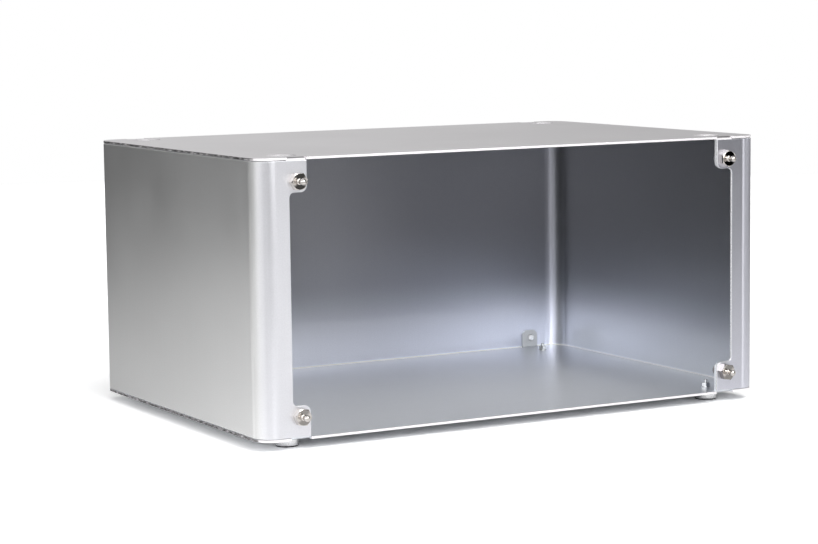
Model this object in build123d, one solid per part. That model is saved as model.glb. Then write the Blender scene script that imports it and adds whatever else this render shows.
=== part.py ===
from build123d import *
import math
import os

# Shoe box of bent aluminium sheet, open at the front, millimetres.
# +Z is up, -Y is the open front, X runs from the left side to the right side.
# The origin is the middle of the floor area that the whole object covers.

# Overall size of the sheet shell, without the feet and the studs
WIDTH = 360.0
DEPTH = 240.0
HEIGHT = 166.5

# Sheet
SHEET = 1.5
CORNER_R = 12.0
SEAM_GAP = 0.4
DEBURR = 0.25

# Front frame of the wrap-around panel: narrow flanges with a wider tab at each corner
FLANGE_W = 21.0
TAB_REACH = 32.5
TAB_H = 20.5
TAB_CORNER_R = 4.0
TAB_ROOT_R = 3.0

# Tabs bent from the top and bottom plates, which lie behind the wrap-around panel
BENT_TAB_W = 12.4
BEND_OUTER_R = 3.0
RELIEF_W = 0.35
RELIEF_EXTRA = 0.4
REAR_TAB_H = 14.0

# Ball studs that hold a front cover, with two washers and a cap nut behind the tabs
STUD_INSET_X = 26.0
STUD_INSET_Z = 14.0
STUD_HEX_AF = 9.5
STUD_HEX_T = 4.0
STUD_NECK_D = 2.7
STUD_FLARE = 0.6
STUD_BALL_D = 4.0
STUD_PROJECTION = 10.0
STUD_THREAD_D = 4.0
STUD_HOLE_D = 4.3
STUD_THREAD_L = 8.6
STUD_TURNS = (2.0, 31.0, -6.0, 50.0)
STUD_WASHER_D = 9.0
STUD_WASHER_T = 0.8
LOCK_WASHER_D = 7.4
LOCK_WASHER_HOLE_D = 4.2
LOCK_WASHER_T = 1.0
LOCK_WASHER_GAP = 0.7
CAP_NUT_AF = 7.0
CAP_NUT_HEX_T = 3.4
CAP_NUT_DOME_D = 6.6
CAP_NUT_L = 6.8
CAP_NUT_TURN = 15.0
CAP_NUT_SPARE = 0.4

# Feet, each with a rubber pad and a screw, washer and nut
FOOT_INSET_X = 26.5
FOOT_INSET_Y = 20.5
FOOT_D = 15.6
FOOT_H = 6.4
FOOT_EDGE_R = 0.5
PAD_D = 14.0
PAD_T = 1.6
PAD_PROUD = 0.8
PAD_EDGE_R = 0.3
SCREW_D = 2.5
SCREW_HOLE_D = 2.9
SCREW_HEAD_D = 5.0
SCREW_HEAD_T = 1.8
SCREW_HEAD_R = 0.7
SCREW_TIP_L = 2.0
SOCKET_AF = 1.6
SOCKET_DEPTH = 1.1
HEAD_POCKET_D = 5.8
HEAD_POCKET_DEPTH = 2.2
FLOOR_WASHER_D = 6.0
FLOOR_WASHER_T = 0.5
FLOOR_NUT_AF = 5.0
FLOOR_NUT_T = 2.4
STACK_HOLE_D = 17.5

# Blind rivets that hold the rear tabs to the back wall
RIVET_INSET_Z = 8.5
RIVET_D = 3.2
RIVET_HOLE_D = 3.3
RIVET_HEAD_D = 6.4
RIVET_HEAD_T = 1.1
RIVET_BULB_D = 4.8
RIVET_BULB_L = 2.0
RIVET_BULB_R = 0.8
RIVET_PIN_D = 1.8
RIVET_DIMPLE = 0.5

# Machined details that the screws, studs and nuts share
THREAD_CLEARANCE = 0.02
THREAD_CHAMFER = 0.4
HEX_CORNER_LOSS = 0.1
WASHER_EDGE_SHARE = 0.3

# How far a cutting tool starts outside the metal
OVERCUT = 1.0

# Worked-out places
OVERALL_DEPTH = DEPTH + STUD_PROJECTION + RIVET_HEAD_T
FRONT_Y = STUD_PROJECTION - OVERALL_DEPTH / 2
BACK_Y = FRONT_Y + DEPTH
MID_Y = FRONT_Y + DEPTH / 2
BASE_Z = FOOT_H
TOP_Z = BASE_Z + HEIGHT
MID_Z = BASE_Z + HEIGHT / 2
STUD_X = WIDTH / 2 - STUD_INSET_X
FOOT_X = WIDTH / 2 - FOOT_INSET_X
FOOT_Y = DEPTH / 2 - FOOT_INSET_Y
STUD_HIGH_Z = TOP_Z - STUD_INSET_Z
STUD_LOW_Z = BASE_Z + STUD_INSET_Z
BEND_INNER_R = BEND_OUTER_R - SHEET

SIDES = {"left": -1, "right": 1}
ROWS = {"front": -1, "rear": 1}
LEVELS = {"upper": STUD_HIGH_Z, "lower": STUD_LOW_Z}
RIVET_LEVELS = {"upper": TOP_Z - RIVET_INSET_Z, "lower": BASE_Z + RIVET_INSET_Z}


def along_y(radius, start, end, x, z):
    """A round bar parallel to Y from start to end."""
    centre = (start + end) / 2
    bar = Cylinder(radius, end - start)
    return Pos(x, centre, z) * Rot(90, 0, 0) * bar


def along_z(radius, start, end, x=0.0, y=0.0):
    """A round bar parallel to Z from start to end."""
    return Pos(x, y, (start + end) / 2) * Cylinder(radius, end - start)


def block(x_min, x_max, y_min, y_max, z_min, z_max):
    """A box between two corners."""
    centre = Pos((x_min + x_max) / 2, (y_min + y_max) / 2, (z_min + z_max) / 2)
    return centre * Box(x_max - x_min, y_max - y_min, z_max - z_min)


def hex_bar(across_flats, length):
    """A hexagon bar standing on Z = 0, its top corners turned down to a 30 degree chamfer."""
    slope = math.radians(30)
    face_r = across_flats / 2 - HEX_CORNER_LOSS
    blank_r = across_flats / 2 / math.cos(slope) + OVERCUT
    drop = (blank_r - face_r) * math.tan(slope)
    corners = [(0, 0), (blank_r, 0), (blank_r, length - drop), (face_r, length), (0, length)]
    turned = revolve(Plane.XZ * make_face(Polyline(*corners, close=True)), Axis.Z)
    return extrude(RegularPolygon(across_flats / 2, 6, major_radius=False), length) & turned


def standing(radius, height):
    """A round bar standing on Z = 0."""
    return Cylinder(radius, height, align=(Align.CENTER, Align.CENTER, Align.MIN))


def shell_outline(inset):
    """The rounded rectangle of the shell seen from above, pulled in by inset."""
    sheet = RectangleRounded(WIDTH - 2 * inset, DEPTH - 2 * inset, CORNER_R - inset)
    return Pos(0, MID_Y, 0) * sheet


def front_opening():
    """What is cut from the front wall: a wide middle and narrower ends between the tabs."""
    narrow = WIDTH / 2 - TAB_REACH
    wide = WIDTH / 2 - FLANGE_W
    tab_level = HEIGHT / 2 - TAB_H
    end = HEIGHT / 2 + OVERCUT
    right_side = [
        (narrow, -end),
        (narrow, -tab_level),
        (wide, -tab_level),
        (wide, tab_level),
        (narrow, tab_level),
        (narrow, end),
    ]
    left_side = [(-x, z) for x, z in reversed(right_side)]
    outline = make_face(Polyline(*right_side, *left_side, close=True))
    outline = fillet(corners_at(outline, narrow, tab_level), TAB_CORNER_R)
    outline = fillet(corners_at(outline, wide, tab_level), TAB_ROOT_R)
    wall = Plane(origin=(0, FRONT_Y, MID_Z), x_dir=(1, 0, 0), z_dir=(0, -1, 0)) * outline
    return extrude(wall, amount=SHEET + OVERCUT, both=True)


def corners_at(outline, across, up):
    """The four corners of an outline that lie at plus or minus these two coordinates."""
    return [v for v in outline.vertices() if math.isclose(abs(v.X), across) and math.isclose(abs(v.Y), up)]


def wrap_panel():
    """Front flange, side, back, side and front flange, bent from one strip."""
    low = BASE_Z + SHEET + SEAM_GAP
    high = TOP_Z - SHEET - SEAM_GAP
    strip = extrude(Pos(0, 0, low) * (shell_outline(0) - shell_outline(SHEET)), high - low)
    strip -= front_opening()
    strip = fillet(flange_edges(strip), DEBURR)
    through = SHEET + OVERCUT
    for side in SIDES.values():
        x = side * STUD_X
        for level in LEVELS.values():
            strip -= along_y(STUD_HOLE_D / 2, FRONT_Y - OVERCUT, FRONT_Y + through, x, level)
        for level in RIVET_LEVELS.values():
            strip -= along_y(RIVET_HOLE_D / 2, BACK_Y - through, BACK_Y + OVERCUT, x, level)
    return strip


def flange_edges(strip):
    """The outer edges of the two front flanges, apart from the lines where the corner bends start."""
    bend_x = WIDTH / 2 - CORNER_R
    fronts = [face for face in strip.faces() if math.isclose(face.center().Y, FRONT_Y)]
    edges = [edge for face in fronts for edge in face.edges()]
    return [edge for edge in edges if not math.isclose(abs(edge.center().X), bend_x)]


def bent_tab(tab_height):
    """The section of a tab in the YZ plane for a top plate, its outer face on Y = 0, its top on Z = 0."""
    reach = BEND_OUTER_R + RELIEF_EXTRA
    flat_edge = Line((reach, 0), (BEND_OUTER_R, 0))
    outer_bend = CenterArc((BEND_OUTER_R, -BEND_OUTER_R), BEND_OUTER_R, 90, 90)
    outer_wall = Line((0, -BEND_OUTER_R), (0, -tab_height))
    foot_edge = Line((0, -tab_height), (SHEET, -tab_height))
    inner_wall = Line((SHEET, -tab_height), (SHEET, -BEND_OUTER_R))
    inner_bend = CenterArc((BEND_OUTER_R, -BEND_OUTER_R), BEND_INNER_R, 180, -90)
    under_edge = Line((BEND_OUTER_R, -SHEET), (reach, -SHEET))
    cut_edge = Line((reach, -SHEET), (reach, 0))
    edges = [flat_edge, outer_bend, outer_wall, foot_edge, inner_wall, inner_bend, under_edge, cut_edge]
    section = make_face(edges)
    across = Plane(origin=(0, 0, 0), x_dir=(0, 1, 0), z_dir=(1, 0, 0)) * section
    tab = extrude(across, amount=BENT_TAB_W / 2, both=True)
    free_corners = tab.edges().filter_by(Axis.Y).group_by(Axis.Z)[0]
    return fillet(free_corners, TAB_CORNER_R)


def closing_plate():
    """A top plate with its upper face on Z = 0 and four tabs bent down inside the wrap-around panel."""
    plate = extrude(shell_outline(0), -SHEET)
    rims = plate.edges().group_by(Axis.Z)
    plate = fillet(rims[0] + rims[-1], DEBURR)
    tab_x = WIDTH / 2 - TAB_REACH + BENT_TAB_W / 2
    notch = SHEET + BEND_OUTER_R + RELIEF_EXTRA
    half = BENT_TAB_W / 2 + RELIEF_W
    for side in SIDES.values():
        x = side * tab_x
        plate -= block(x - half, x + half, FRONT_Y - OVERCUT, FRONT_Y + notch, -SHEET - OVERCUT, OVERCUT)
        plate -= block(x - half, x + half, BACK_Y - notch, BACK_Y + OVERCUT, -SHEET - OVERCUT, OVERCUT)
    for side in SIDES.values():
        front_tab = Pos(side * tab_x, FRONT_Y + SHEET, 0) * bent_tab(TAB_H)
        rear_tab = Pos(side * tab_x, BACK_Y - SHEET, 0) * Rot(0, 0, 180) * bent_tab(REAR_TAB_H)
        stud_hole = along_y(STUD_HOLE_D / 2, FRONT_Y, FRONT_Y + notch, side * STUD_X, -STUD_INSET_Z)
        rivet_hole = along_y(RIVET_HOLE_D / 2, BACK_Y - notch, BACK_Y, side * STUD_X, -RIVET_INSET_Z)
        plate += front_tab - stud_hole
        plate += rear_tab - rivet_hole
    return plate


def foot_places():
    """Each foot's name, its X and its Y."""
    for row, y_sign in ROWS.items():
        for side, x_sign in SIDES.items():
            yield f"{row}_{side}", x_sign * FOOT_X, MID_Y + y_sign * FOOT_Y


def top_plate():
    """Closes the top, with four holes that take the feet of a box stacked above."""
    plate = Pos(0, 0, TOP_Z) * closing_plate()
    for _, x, y in foot_places():
        plate -= along_z(STACK_HOLE_D / 2, TOP_Z - SHEET - OVERCUT, TOP_Z + OVERCUT, x, y)
    return plate


def bottom_plate():
    """The same plate turned over, with holes for the foot screws."""
    plate = Pos(0, 0, BASE_Z) * mirror(closing_plate(), about=Plane.XY)
    for _, x, y in foot_places():
        plate -= along_z(SCREW_HOLE_D / 2, BASE_Z - OVERCUT, BASE_Z + SHEET + OVERCUT, x, y)
    return plate


def ball_stud(turn):
    """Threaded tail, hexagon, flared neck and ball, standing on Z = 0 with the ball up."""
    base = Rot(0, 0, turn) * hex_bar(STUD_HEX_AF, STUD_HEX_T)
    ball_z = STUD_PROJECTION - STUD_BALL_D / 2
    neck_r = STUD_NECK_D / 2
    neck = standing(neck_r, ball_z - STUD_HEX_T)
    flare = Pos(0, 0, STUD_FLARE / 2) * Cone(neck_r + STUD_FLARE, neck_r, STUD_FLARE)
    ball = Pos(0, 0, ball_z) * Sphere(STUD_BALL_D / 2)
    tail = along_z(STUD_THREAD_D / 2, -STUD_THREAD_L, 0)
    tail = chamfer(tail.edges().group_by(Axis.Z)[0], THREAD_CHAMFER)
    return base + Pos(0, 0, STUD_HEX_T) * (neck + flare) + ball + tail


def washer(outer_d, hole_d, thickness):
    """A flat washer on Z = 0 with softened outer edges."""
    disc = standing(outer_d / 2, thickness)
    disc = fillet(disc.edges().filter_by(GeomType.CIRCLE), thickness * WASHER_EDGE_SHARE)
    return disc - along_z(hole_d / 2, -OVERCUT, thickness + OVERCUT)


def lock_washer():
    """A split spring washer on Z = 0, pressed flat."""
    ring = washer(LOCK_WASHER_D, LOCK_WASHER_HOLE_D, LOCK_WASHER_T)
    half_gap = LOCK_WASHER_GAP / 2
    return ring - block(0, LOCK_WASHER_D, -half_gap, half_gap, -OVERCUT, LOCK_WASHER_T + OVERCUT)


def cap_nut():
    """A hexagon on Z = 0 with a dome, its thread a blind hole from below."""
    hexagon = Rot(0, 0, CAP_NUT_TURN) * hex_bar(CAP_NUT_AF, CAP_NUT_HEX_T)
    dome_r = CAP_NUT_DOME_D / 2
    barrel = standing(dome_r, CAP_NUT_L - dome_r)
    dome = Pos(0, 0, CAP_NUT_L - dome_r) * Sphere(dome_r)
    tail_top = STUD_THREAD_L - 2 * SHEET - STUD_WASHER_T - LOCK_WASHER_T
    thread = along_z((STUD_THREAD_D + THREAD_CLEARANCE) / 2, -OVERCUT, tail_top + CAP_NUT_SPARE)
    return hexagon + barrel + dome - thread


def foot():
    """A turned foot with its upper face on Z = 0, a pad recess below and a pocket for the screw head."""
    body_h = FOOT_H - PAD_PROUD
    body = along_z(FOOT_D / 2, -body_h, 0)
    body = fillet(body.edges().group_by(Axis.Z)[0], FOOT_EDGE_R)
    recess_top = -FOOT_H + PAD_T
    body -= along_z(PAD_D / 2, -body_h - OVERCUT, recess_top)
    body -= along_z(HEAD_POCKET_D / 2, recess_top - OVERCUT, recess_top + HEAD_POCKET_DEPTH)
    return body - along_z(SCREW_HOLE_D / 2, -body_h, OVERCUT)


def foot_pad():
    """A rubber disc on Z = 0."""
    disc = standing(PAD_D / 2, PAD_T)
    return fillet(disc.edges().group_by(Axis.Z)[0], PAD_EDGE_R)


def foot_screw():
    """A socket-head screw standing on its head, with the head's bearing face on Z = 0."""
    head = along_z(SCREW_HEAD_D / 2, -SCREW_HEAD_T, 0)
    head = fillet(head.edges().group_by(Axis.Z)[0], SCREW_HEAD_R)
    grip = FOOT_H - PAD_T - HEAD_POCKET_DEPTH + SHEET + FLOOR_WASHER_T + FLOOR_NUT_T
    shank = standing(SCREW_D / 2, grip + SCREW_TIP_L)
    shank = chamfer(shank.edges().group_by(Axis.Z)[-1], THREAD_CHAMFER)
    socket = extrude(RegularPolygon(SOCKET_AF / 2, 6, major_radius=False), SOCKET_DEPTH)
    return head + shank - Pos(0, 0, -SCREW_HEAD_T) * socket


def floor_nut():
    """A plain hexagon nut on Z = 0."""
    thread = along_z((SCREW_D + THREAD_CLEARANCE) / 2, -OVERCUT, FLOOR_NUT_T + OVERCUT)
    return hex_bar(FLOOR_NUT_AF, FLOOR_NUT_T) - thread


def rear_rivet():
    """A blind rivet with its dome head standing on Z = 0 and its closed bulb below the two sheets."""
    head_r = RIVET_HEAD_D / 2
    pin_r = RIVET_PIN_D / 2
    centre_depth = (head_r**2 - pin_r**2 - RIVET_HEAD_T**2) / (2 * RIVET_HEAD_T)
    ball = Pos(0, 0, -centre_depth) * Sphere(math.hypot(centre_depth, head_r))
    head = ball & along_z(head_r + OVERCUT, 0, 2 * RIVET_HEAD_T)
    shank = along_z(RIVET_D / 2, -2 * SHEET, 0)
    bulb = along_z(RIVET_BULB_D / 2, -2 * SHEET - RIVET_BULB_L, -2 * SHEET)
    bulb = fillet(bulb.edges().group_by(Axis.Z)[0], RIVET_BULB_R)
    dimple = along_z(pin_r, RIVET_HEAD_T - RIVET_DIMPLE, 2 * RIVET_HEAD_T)
    return head + shank + bulb - dimple


def facing_front(x, y, z):
    """Puts a piece's +Z axis along -Y, so that it points out of the front."""
    return Pos(x, y, z) * Rot(90, 0, 0)


def facing_back(x, y, z):
    """Puts a piece's +Z axis along +Y, so that it points towards the back."""
    return Pos(x, y, z) * Rot(-90, 0, 0)


def front_fixings():
    """The ball studs with their washers and cap nuts."""
    pieces = {}
    turns = iter(STUD_TURNS)
    inside_y = FRONT_Y + 2 * SHEET
    lock_y = inside_y + STUD_WASHER_T
    for level, z in LEVELS.items():
        for side, x_sign in SIDES.items():
            place = f"{level}_{side}"
            x = x_sign * STUD_X
            flat = washer(STUD_WASHER_D, STUD_HOLE_D, STUD_WASHER_T)
            pieces[f"ball_stud_{place}"] = facing_front(x, FRONT_Y, z) * ball_stud(next(turns))
            pieces[f"stud_washer_{place}"] = facing_back(x, inside_y, z) * flat
            pieces[f"lock_washer_{place}"] = facing_back(x, lock_y, z) * lock_washer()
            pieces[f"cap_nut_{place}"] = facing_back(x, lock_y + LOCK_WASHER_T, z) * cap_nut()
    return pieces


def foot_sets():
    """The feet with their pads, screws, washers and nuts."""
    pieces = {}
    floor_z = BASE_Z + SHEET
    head_z = PAD_T + HEAD_POCKET_DEPTH
    flat = washer(FLOOR_WASHER_D, SCREW_HOLE_D, FLOOR_WASHER_T)
    for place, x, y in foot_places():
        pieces[f"foot_{place}"] = Pos(x, y, BASE_Z) * foot()
        pieces[f"foot_pad_{place}"] = Pos(x, y, 0) * foot_pad()
        pieces[f"foot_screw_{place}"] = Pos(x, y, head_z) * foot_screw()
        pieces[f"floor_washer_{place}"] = Pos(x, y, floor_z) * flat
        pieces[f"floor_nut_{place}"] = Pos(x, y, floor_z + FLOOR_WASHER_T) * floor_nut()
    return pieces


def rear_fixings():
    """The rivets through the back wall and the rear tabs."""
    pieces = {}
    for level, z in RIVET_LEVELS.items():
        for side, x_sign in SIDES.items():
            place = facing_back(x_sign * STUD_X, BACK_Y, z)
            pieces[f"rear_rivet_{level}_{side}"] = place * rear_rivet()
    return pieces


def shoe_box():
    """Every piece by name."""
    pieces = {
        "wrap_panel": wrap_panel(),
        "top_plate": top_plate(),
        "bottom_plate": bottom_plate(),
    }
    pieces.update(front_fixings())
    pieces.update(foot_sets())
    pieces.update(rear_fixings())
    return pieces


os.makedirs("parts", exist_ok=True)
for name, piece in shoe_box().items():
    export_step(piece, f"parts/{name}.step")
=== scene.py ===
import bpy
import math
from mathutils import Matrix, Vector


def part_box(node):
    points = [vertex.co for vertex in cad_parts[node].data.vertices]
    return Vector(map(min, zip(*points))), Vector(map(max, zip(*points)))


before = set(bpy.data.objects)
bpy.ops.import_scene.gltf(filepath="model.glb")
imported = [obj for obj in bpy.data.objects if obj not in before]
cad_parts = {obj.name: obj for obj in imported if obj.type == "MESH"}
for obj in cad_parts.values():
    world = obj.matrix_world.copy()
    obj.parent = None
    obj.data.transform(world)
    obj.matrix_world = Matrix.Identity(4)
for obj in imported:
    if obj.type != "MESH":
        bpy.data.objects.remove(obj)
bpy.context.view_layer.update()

# An open shoe box of satin anodised sheet, in metres.
# The CAD shapes stay as they are; this script adds their materials, the studio and the camera.
MM = 0.001

# Blender's noise lies mostly between these
NOISE_SPAN = (0.3, 0.7)

# The sheet shell, from the frame
wrap_low, wrap_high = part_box("wrap_panel")
BASE_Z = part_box("bottom_plate")[0].z
LID_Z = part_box("top_plate")[1].z
FRONT_Y = wrap_low.y
BACK_Y = wrap_high.y
SIDE_X = wrap_high.x
SHELL = Vector(((wrap_low.x + wrap_high.x) / 2, (FRONT_Y + BACK_Y) / 2, BASE_Z))
SHEET = 1.5 * MM
CORNER_R = 12 * MM
BEND_X = SIDE_X - CORNER_R

# Depths below the outer faces of the walls: where the outside finish ends and the inside one begins,
# and where the bends of the top plate's tabs end and its flat part begins
OUTSIDE_TO = 0.3 * SHEET
INSIDE_FROM = 0.9 * SHEET
TAB_BEND_TO = 3 * SHEET
LID_FLAT_FROM = 3.2 * SHEET

# Tones multiply a finish's tint. Those of the sheet's faces are fitted to the photograph, because the
# lamps alone don't give its reflections, and the shoes that darken the inside aren't in the scene.

# Tints of the sheet: outside, inside low down where only cool light comes, and inside under the lid
WRAP_TINT = (0.795, 0.798, 0.798)
PLATE_TINT = (0.81, 0.79, 0.807)
COOL_TINT = (0.775, 0.798, 0.833)
LID_TINT = (0.78, 0.789, 0.806)
COOL_TO = 40 * MM
LID_FROM = 100 * MM

# Painted shade on the upper part of the inside: how much tone it loses at the left and from the middle
# on, and how much of that is left near the lid
INSIDE_SHADE_TO = 60 * MM
SHADE_LEFT_X = -140 * MM
SHADE_LEFT = 0.85
SHADE_RIGHT = 0.58
LID_GLOW_Z = (85 * MM, 165 * MM)
LID_GLOW = 0.84

# Painted light fitted on the front flanges: tones from left to right, and tints at the left and right
# that cool them as painted reflections. The back wall has them too, because it is square to the same
# axis.
FLANGE_PAINTED_TONES = (1.03, 0.93)
FLANGE_PAINTED_COOL_LEFT = (0.985, 0.983, 1.03)
FLANGE_PAINTED_COOL_RIGHT = (0.97, 0.972, 1.07)

# Painted reflections round the bends, in degrees from facing front: where a tone is strongest, how far it
# reaches, tone
BEND_BAND = (34, 8, 0.96)
LEFT_SIDE_END = (70, 28, 0.72)
LEFT_START_LINE = (81, 8, 1.15)

# Painted reflections: the left bend's front end has two tones, low and high; the right bend has one past
# a range of angles
LEFT_FRONT_END = (14, 13)
LEFT_FRONT_TONES = (1.13, 0.87)
RIGHT_FAR_SIDE = (10, 20)
RIGHT_FAR_TONE = 1.18
BEND_HIGH_FROM = 70 * MM

# A painted highlight, as a pale matt strip where the right bend begins: its soft edges from there, its
# tone and its metal
STRIP_START = (-0.9 * MM, -0.3 * MM)
STRIP_END = (0.4 * MM, 1.8 * MM)
STRIP_TONE = 0.96
STRIP_METALLIC = 0.4

# Painted light on the flat sides: tone at the rear, at the front low down, and at the front from this
# height up
SIDE_REAR = 0.87
SIDE_FRONT_LOW = 0.98
SIDE_FRONT_HIGH = 1.22
SIDE_HIGH_Z = 90 * MM

# The painted highlight along the foot of the walls inside
SEAM_REACH = 1.6 * MM
SEAM_TONE = 1.4

# Cut edges, duller than the film: tones of the walls of the holes and the rear cuts, of the clean front
# cuts of the plates, partly a painted highlight, of the cuts of the wrap-around panel, and of the torn
# side cuts before squaring, which also carry painted shade
EDGE_METALLIC = 0.35
EDGE_ROUGHNESS = 0.5
HOLE_TONE = 0.8
CLEAN_CUT_AND_HIGHLIGHT_TONES = (1.05, 1.25)
WRAP_EDGE_TONES = (0.65, 1.25)
TORN_AND_SHADED_TONES = (0.0, 0.85)

# How square to the vertical a plate's face is where it stops counting as edge, at the left and right;
# the higher limit takes in the bends of the left tabs, which get the cuts' bright tone as a painted
# highlight
PLATE_FLAT = (0.98, 0.88)

# Studs: from the tip to where the turned face of the hexagon begins, how dark the painted reflections on
# that face get beside the ball on the lower and the upper studs, and the painted shade tone of the lower
# right hexagon's chamfer and flats
FACE_DEPTH = (5.4 * MM, 5.9 * MM)
CRESCENT_LOWER = 0.55
CRESCENT_UPPER = 0.9
CHAMFER_TONE = 0.45

# Plain metals: tint, roughness, rings or scratches per metre along each axis, bump
METALS = {
    # The nickel plate tint is kept darker than bare nickel as painted shade: the cap nuts and washers it
    # is on sit inside the box
    "nickel plate": ((0.42, 0.41, 0.40), 0.25, (900, 900, 900), 0.2),
    "bright zinc": ((0.62, 0.63, 0.64), 0.12, (60, 60, 2500), 0.2),
    "drawn rivet": ((0.78, 0.78, 0.79), 0.32, (1200, 60, 1200), 0.2),
    "turned aluminium": ((0.84, 0.84, 0.85), 0.24, (40, 40, 3000), 0.35),
}

# What each plain metal is on: the starts of the nodes' names
METAL_NODES = {
    "nickel plate": ("cap_nut", "stud_washer", "lock_washer"),
    "bright zinc": ("foot_screw", "floor_washer", "floor_nut"),
    "drawn rivet": ("rear_rivet",),
    "turned aluminium": ("foot_front", "foot_rear"),
}

# Camera: a long lens, a little above the box and to the left of its front; angles in radians.
# The values come from a perspective fit of the edges, tabs and studs in the photograph.
CAMERA_PLACE = SHELL + Vector((-783.7, -1374.4, 258.5)) * MM
CAMERA_YAW = 0.5111
CAMERA_PITCH = 0.1135
CAMERA_ROLL = -0.0123
SENSOR = 36.0
LENS = 106.53
FARTHEST_SEEN = 50

# Far soft lamps: azimuth from the front towards the right, elevation, tightness, strength.
# The first five come from a fit to the photograph's tones, rounded and changed a little.
LAMPS = {
    "rear fill": (165, 0, 5, 0.95),
    "left softbox": (270, 0, 5, 2.8),
    "front left softbox": (330, 45, 5, 1.9),
    "front softbox": (15, 60, 12, 2.3),
    "right softbox": (90, 0, 12, 1.5),
    "front right lamp": (60, 8, 60, 0.6),
    "camera side softbox": (315, 10, 12, 0.55),
}

# Cards before the box, on one plane: left, right, low and high edges, strength.
# They start from the same fit, with their strengths changed.
CARD_Y = -0.7
CARDS = {
    "card_high": (-0.2, 0.15, 0.35, 0.8, 6.0),
    "card_middle": (-0.2, 0.0, 0.15, 0.35, 2.1),
    "card_low": (0.0, 0.2, 0.005, 0.15, 0.8),
    "card_right": (1.0, 1.3, 0.005, 0.15, 1.5),
}

# A sheet of light that hangs low over the floor of the box and shines down only
INNER_CARD_Z = BASE_Z + 34 * MM
INNER_CARD_MARGIN = 14 * MM
INNER_CARD_STRENGTH = 0.4

# Floor: its radius and corners, the pool of light on it as reflections show it, from its inner to its
# outer radius, and its tone in the picture
FLOOR_R = 2.0
FLOOR_CORNERS = 96
POOL_MIDDLE = (-0.1, -0.3, 0.0)
POOL_RADII = (0.15, 1.65)
POOL_TONES = (0.9, 0.1)
FLOOR_SHOWN = 1.45


def even(per_metre):
    """The same noise scale along every axis."""
    return (per_metre, per_metre, per_metre)


def math_node(tree, operation, first, second):
    """Works out one step with sockets or numbers."""
    node = tree.nodes.new("ShaderNodeMath")
    node.operation = operation
    for socket, value in zip(node.inputs, (first, second)):
        feed(tree, socket, value)
    return node.outputs[0]


def feed(tree, socket, value):
    """Links a socket, or sets a number or vector, to an input."""
    if isinstance(value, bpy.types.NodeSocket):
        tree.links.new(value, socket)
    else:
        socket.default_value = value


class Surface:
    """A node material with short ways to add what these finishes share.

    facing_x, facing_y and facing_z are 1 on faces square to that axis and 0 on faces edge on to it.
    """

    def __init__(self, name, metallic, roughness):
        self.material = bpy.data.materials.new(name)
        self.material.use_nodes = True
        self.tree = self.material.node_tree
        self.shader = self.tree.nodes["Principled BSDF"]
        self.set("Metallic", metallic)
        self.set("Roughness", roughness)
        self.place = self.add("TexCoord").outputs["Object"]
        self.x, self.y, self.z = self.parts(self.place)
        normal = self.add("NewGeometry").outputs["Normal"]
        facing = [self.math("ABSOLUTE", part) for part in self.parts(normal)]
        self.facing_x, self.facing_y, self.facing_z = facing

    def add(self, kind, values=None, **settings):
        node = self.tree.nodes.new("ShaderNode" + kind)
        for setting, value in settings.items():
            setattr(node, setting, value)
        for socket, value in (values or {}).items():
            feed(self.tree, node.inputs[socket], value)
        return node

    def set(self, socket, value):
        feed(self.tree, self.shader.inputs[socket], value)

    def linked(self, socket):
        """What feeds a socket of the shader so far."""
        return self.shader.inputs[socket].links[0].from_socket

    def parts(self, vector):
        return self.add("SeparateXYZ", {0: vector}).outputs

    def math(self, operation, first, second=0.0):
        return math_node(self.tree, operation, first, second)

    def product(self, *values):
        total = values[0]
        for value in values[1:]:
            total = self.math("MULTIPLY", total, value)
        return total

    def opposite(self, mask):
        return self.math("SUBTRACT", 1.0, mask)

    def distance(self, value, centre):
        return self.math("ABSOLUTE", self.math("SUBTRACT", value, centre))

    def length(self, first, second):
        squares = [self.math("MULTIPLY", value, value) for value in (first, second)]
        return self.math("SQRT", self.math("ADD", *squares))

    def ramp(self, value, start, end, before, after, **settings):
        """A straight change from before to after while value goes from start to end."""
        limits = {"Value": value, "From Min": start, "From Max": end, "To Min": before, "To Max": after}
        return self.add("MapRange", limits, **settings).outputs[0]

    def step(self, value, start, end, before=0.0, after=1.0):
        """The same, but soft at both ends."""
        return self.ramp(value, start, end, before, after, interpolation_type="SMOOTHSTEP")

    def near(self, value, centre, reach):
        """1 where value is at centre, down to 0 at reach from it."""
        return self.step(self.distance(value, centre), 0.0, reach, 1.0, 0.0)

    def noise(self, per_metre, detail, low, high):
        """Noise between low and high, with its own scale along each axis, in waves per metre."""
        stretched = self.add("VectorMath", {0: self.place, 1: per_metre}, operation="MULTIPLY").outputs[0]
        value = self.add("TexNoise", {"Vector": stretched, "Scale": 1.0, "Detail": detail}).outputs["Fac"]
        return self.ramp(value, *NOISE_SPAN, low, high)

    def blend(self, mask, start, end):
        """From start where mask is 0 to end where it is 1, for numbers."""
        return self.add("Mix", {0: mask, 2: start, 3: end}).outputs[0]

    def blend_tints(self, mask, start, end):
        """The same for tints, where the end may be a socket."""
        last = end if isinstance(end, bpy.types.NodeSocket) else (*end, 1)
        return self.add("Mix", {0: mask, 6: (*start, 1), 7: last}, data_type="RGBA").outputs[2]

    def colour(self, tint, tone):
        scaled = self.add("VectorMath", {0: tint, "Scale": tone}, operation="SCALE").outputs[0]
        self.set("Base Color", scaled)

    def bump(self, height, strength, distance):
        values = {"Height": height, "Strength": strength, "Distance": distance}
        self.set("Normal", self.add("Bump", values).outputs["Normal"])


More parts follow.
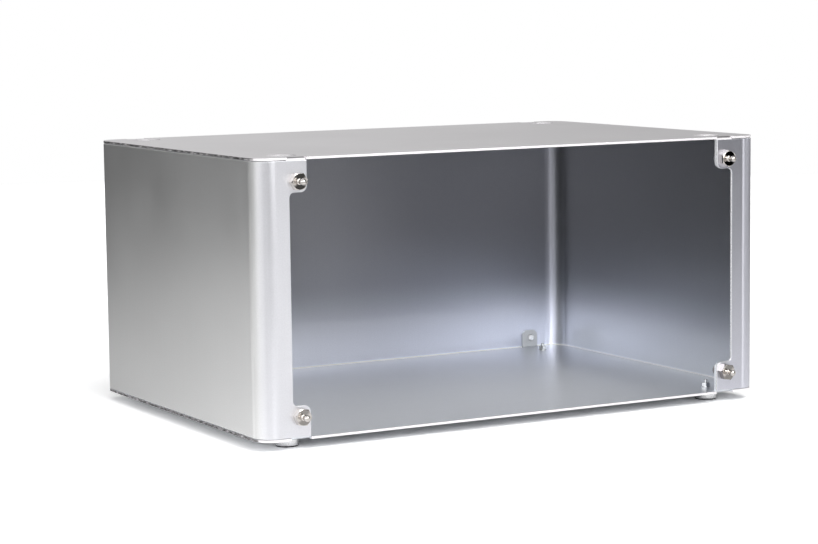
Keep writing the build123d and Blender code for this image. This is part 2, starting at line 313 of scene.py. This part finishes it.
def inside_mask(surface):
    """1 on the faces that look into the box, but not on the bends of the top plate's tabs."""
    across = surface.math("SUBTRACT", surface.math("ABSOLUTE", surface.x), BEND_X)
    along = surface.math("SUBTRACT", surface.distance(surface.y, SHELL.y), BACK_Y - SHELL.y - CORNER_R)
    outward = [surface.math("MAXIMUM", reach, 0.0) for reach in (across, along)]
    turn_r = surface.length(*outward)
    inner_skin = surface.step(turn_r, CORNER_R - INSIDE_FROM, CORNER_R - OUTSIDE_TO, 1.0, 0.0)
    below_lid = surface.step(surface.z, LID_Z - SHEET, LID_Z - SHEET / 2, 1.0, 0.0)
    over_wrap = surface.step(surface.z, wrap_high.z, wrap_high.z + 0.1 * SHEET)
    near_tab = surface.step(along, CORNER_R - LID_FLAT_FROM, CORNER_R - TAB_BEND_TO)
    return surface.product(inner_skin, below_lid, surface.opposite(surface.product(over_wrap, near_tab)))


def inside_shade(surface):
    """The painted shade of the faces that look into the box, as a tone, and 1 on all others."""
    height = surface.step(surface.z, BASE_Z, BASE_Z + INSIDE_SHADE_TO)
    depth = surface.step(surface.x, SHADE_LEFT_X, 0.0, SHADE_LEFT, SHADE_RIGHT)
    lid_glow = surface.step(surface.z, *LID_GLOW_Z, 1.0, LID_GLOW)
    return surface.opposite(surface.product(surface.inside, height, depth, lid_glow))


def sheet_tint(surface, tint):
    """The outside tint, and inside the box one that goes from cool to neutral upwards."""
    height = surface.step(surface.z, BASE_Z + COOL_TO, BASE_Z + LID_FROM)
    return surface.blend_tints(surface.inside, tint, surface.blend_tints(height, COOL_TINT, LID_TINT))


def satin_sheet(name, tint, grain, cut_edge):
    """Clear anodised sheet: clouds, drawn grain along one direction, fine etched bump, cut edges and
    painted shade inside.
    """
    surface = Surface(name, 1.0, 0.35)
    surface.inside = inside_mask(surface)
    surface.outside = surface.opposite(surface.inside)
    clouds = surface.noise(even(9), 3.0, 0.985, 1.015)
    streaks = surface.noise(grain, 2.0, 0.995, 1.005)
    speckle = surface.noise(even(1300), 2.0, 0.975, 1.025)
    edge, edge_tone = cut_edge(surface)
    face_tone = surface.product(clouds, streaks, speckle, inside_shade(surface))
    surface.colour(sheet_tint(surface, tint), surface.blend(edge, face_tone, edge_tone))
    cloudy = surface.noise(even(14), 2.0, 0.33, 0.37)
    surface.set("Roughness", surface.blend(edge, cloudy, EDGE_ROUGHNESS))
    surface.set("Metallic", surface.blend(edge, 1.0, EDGE_METALLIC))
    surface.bump(surface.noise(even(2600), 2.0, 0.0, 1.0), 0.12, 0.02 * MM)
    return surface


def plate_edge(surface):
    """Where a plate is cut, and its tone: bright at the front, partly as a painted highlight, torn and
    painted dark as shade at the sides.
    """
    flat = surface.step(surface.x, -CORNER_R, CORNER_R, *PLATE_FLAT)
    edge = surface.step(surface.facing_z, 0.35, flat, 1.0, 0.0)
    rough_and_shaded_cut = surface.noise((100, 240, 800), 3.0, *TORN_AND_SHADED_TONES)
    torn_and_shaded = surface.product(rough_and_shaded_cut, rough_and_shaded_cut)
    clean_cut_and_highlight = surface.noise((300, 300, 3000), 2.0, *CLEAN_CUT_AND_HIGHLIGHT_TONES)
    front = surface.step(surface.y, FRONT_Y + SHEET, FRONT_Y + CORNER_R, 1.0, 0.0)
    side = surface.step(surface.math("ABSOLUTE", surface.x), SIDE_X - SHEET, SIDE_X - SHEET / 2)
    sideways = surface.product(side, surface.step(surface.facing_x, 0.55, 0.95))
    return edge, surface.blend(sideways, surface.blend(front, HOLE_TONE, clean_cut_and_highlight), torn_and_shaded)


def wrap_edge(surface):
    """Where the wrap-around panel is cut, and its tone: its rims and the inner edges of its flanges."""
    rim = surface.step(surface.facing_z, 0.5, 0.8)
    in_front = surface.step(surface.y, FRONT_Y + SHEET, FRONT_Y + 1.1 * SHEET, 1.0, 0.0)
    inner = surface.product(in_front, surface.step(surface.facing_y, 0.4, 0.7, 1.0, 0.0))
    edge = surface.math("MAXIMUM", rim, inner)
    return edge, surface.noise((900, 2500, 900), 3.0, *WRAP_EDGE_TONES)


def bend_painted_light(surface):
    """The painted reflections round the bends: one band on them all, and more changes outside on the
    front ones.
    """
    turned = surface.math("ARCTAN2", surface.facing_x, surface.facing_y)
    in_front = surface.step(surface.y, FRONT_Y + CORNER_R, FRONT_Y + 2 * CORNER_R, 1.0, 0.0)
    bends = surface.product(in_front, surface.outside)
    left = surface.product(bends, surface.step(surface.x, 0.0, -CORNER_R))
    right = surface.product(bends, surface.step(surface.x, 0.0, CORNER_R))
    high = surface.step(surface.z, BASE_Z + BEND_HIGH_FROM, LID_Z)
    turned_far = surface.step(turned, *[math.radians(angle) for angle in RIGHT_FAR_SIDE])
    far_side = surface.product(right, high, turned_far)
    painted_front_tone = surface.step(surface.z, BASE_Z, LID_Z, *LEFT_FRONT_TONES)
    return surface.product(
        turn_tone(surface, turned, 1.0, *BEND_BAND),
        turn_tone(surface, turned, surface.product(left, high), *LEFT_SIDE_END),
        turn_tone(surface, turned, left, *LEFT_START_LINE),
        turn_tone(surface, turned, left, *LEFT_FRONT_END, painted_front_tone),
        surface.blend(far_side, 1.0, RIGHT_FAR_TONE),
    )


def turn_tone(surface, turned, where, angle, reach, tone):
    """A painted reflection tone that is strongest where the sheet has turned by angle, within a mask."""
    at_angle = surface.near(turned, math.radians(angle), math.radians(reach))
    return surface.blend(surface.product(at_angle, where), 1.0, tone)


def start_highlight_strip(surface):
    """A mask of the strip where the right front bend begins, painted paler and matt as a highlight."""
    start = surface.step(surface.x, *[BEND_X + reach for reach in STRIP_START])
    end = surface.step(surface.x, *[BEND_X + reach for reach in STRIP_END], 1.0, 0.0)
    front = surface.step(surface.y, FRONT_Y + CORNER_R, FRONT_Y + CORNER_R / 2)
    return surface.product(start, end, front, surface.outside)


def side_painted_light(surface):
    """The painted light and shade of the flat sides outside, higher towards the front and the top."""
    painted_front_tone = surface.step(surface.z, BASE_Z, BASE_Z + SIDE_HIGH_Z, SIDE_FRONT_LOW, SIDE_FRONT_HIGH)
    tone = surface.ramp(surface.y, BACK_Y, FRONT_Y + CORNER_R, SIDE_REAR, painted_front_tone)
    flat = surface.product(surface.step(surface.facing_x, 0.9, 0.995), surface.outside)
    return surface.blend(flat, 1.0, tone)


def seam_highlight(surface):
    """The painted highlight along the foot of the walls inside, where they meet the base."""
    low = surface.near(surface.z, wrap_low.z, SEAM_REACH)
    behind_flange = surface.step(surface.y, FRONT_Y + SHEET, FRONT_Y + 1.5 * SHEET)
    return surface.blend(surface.product(low, surface.inside, behind_flange), 1.0, SEAM_TONE)


def wrap_finish():
    """The wrap-around panel, with painted light on its flanges, bends, sides and seam, and a cooler
    painted tint on the faces square to the front.
    """
    surface = satin_sheet("anodised wrap", WRAP_TINT, (700, 700, 9), wrap_edge)
    front = surface.step(surface.facing_y, 0.3, 0.9)
    painted_front_tone = surface.blend(front, 1.0, surface.step(surface.x, -SIDE_X, SIDE_X, *FLANGE_PAINTED_TONES))
    across = surface.step(surface.x, -SIDE_X, SIDE_X)
    cool = surface.blend_tints(across, FLANGE_PAINTED_COOL_LEFT, FLANGE_PAINTED_COOL_RIGHT)
    factors = {0: surface.linked("Base Color"), 1: surface.blend_tints(front, (1, 1, 1), cool)}
    tint = surface.add("VectorMath", factors, operation="MULTIPLY").outputs[0]
    strip = start_highlight_strip(surface)
    tone = surface.product(painted_front_tone, bend_painted_light(surface), side_painted_light(surface), seam_highlight(surface))
    surface.colour(tint, surface.product(tone, surface.blend(strip, 1.0, STRIP_TONE)))
    strip_metal = surface.blend(strip, 1.0, STRIP_METALLIC)
    surface.set("Metallic", surface.product(surface.linked("Metallic"), strip_metal))
    return surface.material


def plate_finish(name):
    """The top or the bottom plate, drawn from side to side."""
    return satin_sheet(name, PLATE_TINT, (9, 700, 700), plate_edge).material


def metal(name, tint, roughness, rings, bump):
    """Turned or plated metal: soft tone changes, fine rings or scratches and small marks."""
    surface = Surface(name, 1.0, roughness)
    marks = surface.noise(even(220), 3.0, 0.93, 1.04)
    surface.colour(tint, surface.product(marks, surface.noise(rings, 2.0, 0.96, 1.03)))
    surface.set("Roughness", surface.noise(even(900), 3.0, roughness * 0.75, roughness * 1.3))
    surface.bump(surface.noise(rings, 2.0, 0.0, 1.0), bump, 0.02 * MM)
    return surface.material


def stud_finish():
    """Polished nickel; painted dark reflections on the turned face of each hexagon above and below its
    ball, and painted shade on the lower right hexagon's chamfer and flats.
    """
    surface = Surface("polished nickel", 1.0, 0.1)
    low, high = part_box("ball_stud_lower_right")
    upper_low, upper_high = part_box("ball_stud_upper_right")
    behind_ball = surface.step(surface.y, *[low.y + depth for depth in FACE_DEPTH])
    middle_x = (low.x + high.x) / 2
    levels = ((low.z + high.z) / 2, (upper_low.z + upper_high.z) / 2)
    darkest = surface.step(surface.z, high.z, upper_low.z, CRESCENT_LOWER, CRESCENT_UPPER)
    crescents = surface.product(stud_crescents(surface, middle_x, levels), behind_ball)
    lower = surface.step(surface.z, high.z, upper_low.z, 1.0, 0.0)
    lower_right = surface.product(lower, surface.step(surface.x, -CORNER_R, CORNER_R))
    chamfer = surface.product(behind_ball, surface.step(surface.facing_y, 0.9, 0.95, 1.0, 0.0))
    dimmed = surface.blend(surface.product(chamfer, lower_right), 1.0, CHAMFER_TONE)
    darkened = surface.opposite(surface.product(crescents, darkest))
    scratches = surface.noise((900, 3500, 900), 3.0, 0.93, 1.04)
    surface.colour((0.64, 0.605, 0.575), surface.product(scratches, darkened, dimmed))
    surface.set("Roughness", surface.noise(even(900), 3.0, 0.06, 0.12))
    surface.bump(surface.noise((40, 3500, 40), 2.0, 0.0, 1.0), 0.15, 0.02 * MM)
    return surface.material


def stud_crescents(surface, middle_x, levels):
    """A mask of the parts of the front faces that lie above or below the middle of their stud, where dark
    reflections are painted.
    """
    across = surface.math("SUBTRACT", surface.math("ABSOLUTE", surface.x), middle_x)
    up = surface.math("MINIMUM", *[surface.distance(surface.z, level) for level in levels])
    upright = surface.math("DIVIDE", up, surface.length(across, up))
    face = surface.step(surface.facing_y, 0.9, 0.98)
    return surface.product(face, surface.step(upright, 0.35, 0.8))


def rubber_finish():
    """Matt black rubber with a fine moulded grain and a trace of dust."""
    surface = Surface("black rubber", 0.0, 0.75)
    dust = surface.noise(even(350), 4.0, 0.7, 1.6)
    surface.colour((0.022, 0.022, 0.023), dust)
    surface.set("Roughness", surface.noise(even(500), 3.0, 0.65, 0.85))
    surface.bump(surface.noise(even(3500), 2.0, 0.0, 1.0), 0.4, 0.03 * MM)
    return surface.material


def finish(material, *starts):
    """Gives every CAD node whose name starts in one of these ways the material."""
    for name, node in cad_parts.items():
        if name.startswith(starts):
            node.data.materials.clear()
            node.data.materials.append(material)


def finish_all():
    finish(wrap_finish(), "wrap_panel")
    finish(plate_finish("anodised top"), "top_plate")
    finish(plate_finish("anodised base"), "bottom_plate")
    finish(stud_finish(), "ball_stud")
    for name, looks in METALS.items():
        finish(metal(name, *looks), *METAL_NODES[name])
    finish(rubber_finish(), "foot_pad")


def flat_mesh(name, corners):
    """One flat face for the studio."""
    mesh = bpy.data.meshes.new(name)
    mesh.from_pydata(corners, [], [tuple(range(len(corners)))])
    placed = bpy.data.objects.new(name, mesh)
    bpy.context.scene.collection.objects.link(placed)
    return placed


def add_floor():
    """A round pale floor; past its edge the surroundings are just as white."""
    turns = [math.tau * step / FLOOR_CORNERS for step in range(FLOOR_CORNERS)]
    rim = [(FLOOR_R * math.cos(turn), FLOOR_R * math.sin(turn), 0) for turn in turns]
    floor = flat_mesh("floor", rim)
    surface = Surface("pale floor", 0.0, 0.9)
    surface.set("Specular IOR Level", 0.0)
    seen = surface.add("LightPath").outputs["Is Camera Ray"]
    ends = {0: surface.place, 1: POOL_MIDDLE}
    distance = surface.add("VectorMath", ends, operation="DISTANCE").outputs["Value"]
    pool = surface.ramp(distance, *POOL_RADII, *POOL_TONES)
    clouds = surface.noise(even(3), 2.0, 0.995, 1.0)
    surface.colour((1, 1, 1), surface.product(surface.blend(seen, pool, FLOOR_SHOWN), clouds))
    floor.data.materials.append(surface.material)


def add_cards():
    """Cards before the box that light it and show in its metal, and one inside that lights its floor."""
    for name, (left, right, low, high, strength) in CARDS.items():
        corners = [(right, CARD_Y, low), (left, CARD_Y, low), (left, CARD_Y, high), (right, CARD_Y, high)]
        add_card(name, corners, strength)
    across = SIDE_X - INNER_CARD_MARGIN
    front = FRONT_Y + INNER_CARD_MARGIN
    back = BACK_Y - INNER_CARD_MARGIN
    outline = [(-across, front), (-across, back), (across, back), (across, front)]
    add_card("card_inside", [(x, y, INNER_CARD_Z) for x, y in outline], INNER_CARD_STRENGTH)


def add_card(name, corners, strength):
    """A card that shines from its front, is clear from behind and doesn't show in the picture."""
    card = flat_mesh(name, corners)
    material = bpy.data.materials.new(name)
    material.use_nodes = True
    tree = material.node_tree
    tree.nodes.clear()
    glow = tree.nodes.new("ShaderNodeEmission")
    clear = tree.nodes.new("ShaderNodeBsdfTransparent")
    both = tree.nodes.new("ShaderNodeAddShader")
    output = tree.nodes.new("ShaderNodeOutputMaterial")
    behind = tree.nodes.new("ShaderNodeNewGeometry").outputs["Backfacing"]
    in_front = math_node(tree, "SUBTRACT", 1.0, behind)
    feed(tree, glow.inputs["Strength"], math_node(tree, "MULTIPLY", in_front, strength))
    feed(tree, both.inputs[0], glow.outputs[0])
    feed(tree, both.inputs[1], clear.outputs[0])
    feed(tree, output.inputs["Surface"], both.outputs[0])
    card.data.materials.append(material)
    card.visible_camera = False
    card.visible_shadow = False


def towards(azimuth, elevation):
    """The direction of a lamp, its azimuth from the front of the box towards the right."""
    across = math.radians(azimuth)
    up = math.radians(elevation)
    return (math.sin(across) * math.cos(up), -math.cos(across) * math.cos(up), math.sin(up))


def lamp_light(tree, direction, azimuth, elevation, tightness, strength):
    """What one far lamp adds in a direction: strongest towards the lamp, and softer all round."""
    aligned = tree.nodes.new("ShaderNodeVectorMath")
    aligned.operation = "DOT_PRODUCT"
    feed(tree, aligned.inputs[0], direction)
    feed(tree, aligned.inputs[1], towards(azimuth, elevation))
    light = math_node(tree, "MAXIMUM", aligned.outputs["Value"], 0.0)
    light = math_node(tree, "POWER", light, tightness)
    return math_node(tree, "MULTIPLY", light, strength)


def add_world():
    """Far soft lamps above the floor on a dark surround, which the picture shows as plain white."""
    world = bpy.data.worlds.new("studio")
    world.use_nodes = True
    bpy.context.scene.world = world
    tree = world.node_tree
    direction = tree.nodes.new("ShaderNodeTexCoord").outputs["Generated"]
    total = 0.0
    for lamp in LAMPS.values():
        total = math_node(tree, "ADD", total, lamp_light(tree, direction, *lamp))
    height = tree.nodes.new("ShaderNodeSeparateXYZ")
    feed(tree, height.inputs[0], direction)
    above_floor = math_node(tree, "GREATER_THAN", height.outputs["Z"], 0.0)
    lamps = tree.nodes["Background"]
    lamps.inputs["Color"].default_value = (1, 1, 1, 1)
    feed(tree, lamps.inputs["Strength"], math_node(tree, "MULTIPLY", total, above_floor))
    white = tree.nodes.new("ShaderNodeBackground")
    white.inputs["Color"].default_value = (1, 1, 1, 1)
    shown = tree.nodes.new("ShaderNodeMixShader")
    feed(tree, shown.inputs[0], tree.nodes.new("ShaderNodeLightPath").outputs["Is Camera Ray"])
    feed(tree, shown.inputs[1], lamps.outputs[0])
    feed(tree, shown.inputs[2], white.outputs[0])
    feed(tree, tree.nodes["World Output"].inputs["Surface"], shown.outputs[0])


def add_camera():
    """The camera at the photograph's viewing angle, turned by its yaw and pitch and then its roll."""
    yaw = CAMERA_YAW
    pitch = CAMERA_PITCH
    roll = CAMERA_ROLL
    forward = Vector((math.sin(yaw) * math.cos(pitch), math.cos(yaw) * math.cos(pitch), -math.sin(pitch)))
    level = Vector((math.cos(yaw), -math.sin(yaw), 0))
    lifted = level.cross(forward)
    right = math.cos(roll) * level + math.sin(roll) * lifted
    up = -math.sin(roll) * level + math.cos(roll) * lifted
    data = bpy.data.cameras.new("camera")
    data.sensor_width = SENSOR
    data.lens = LENS
    data.clip_end = FARTHEST_SEEN
    camera = bpy.data.objects.new("camera", data)
    turn = Matrix((right, up, -forward)).transposed()
    camera.matrix_world = Matrix.Translation(CAMERA_PLACE) @ turn.to_4x4()
    bpy.context.scene.collection.objects.link(camera)
    bpy.context.scene.camera = camera


finish_all()
add_floor()
add_cards()
add_world()
add_camera()
bpy.context.scene.view_settings.view_transform = "Standard"
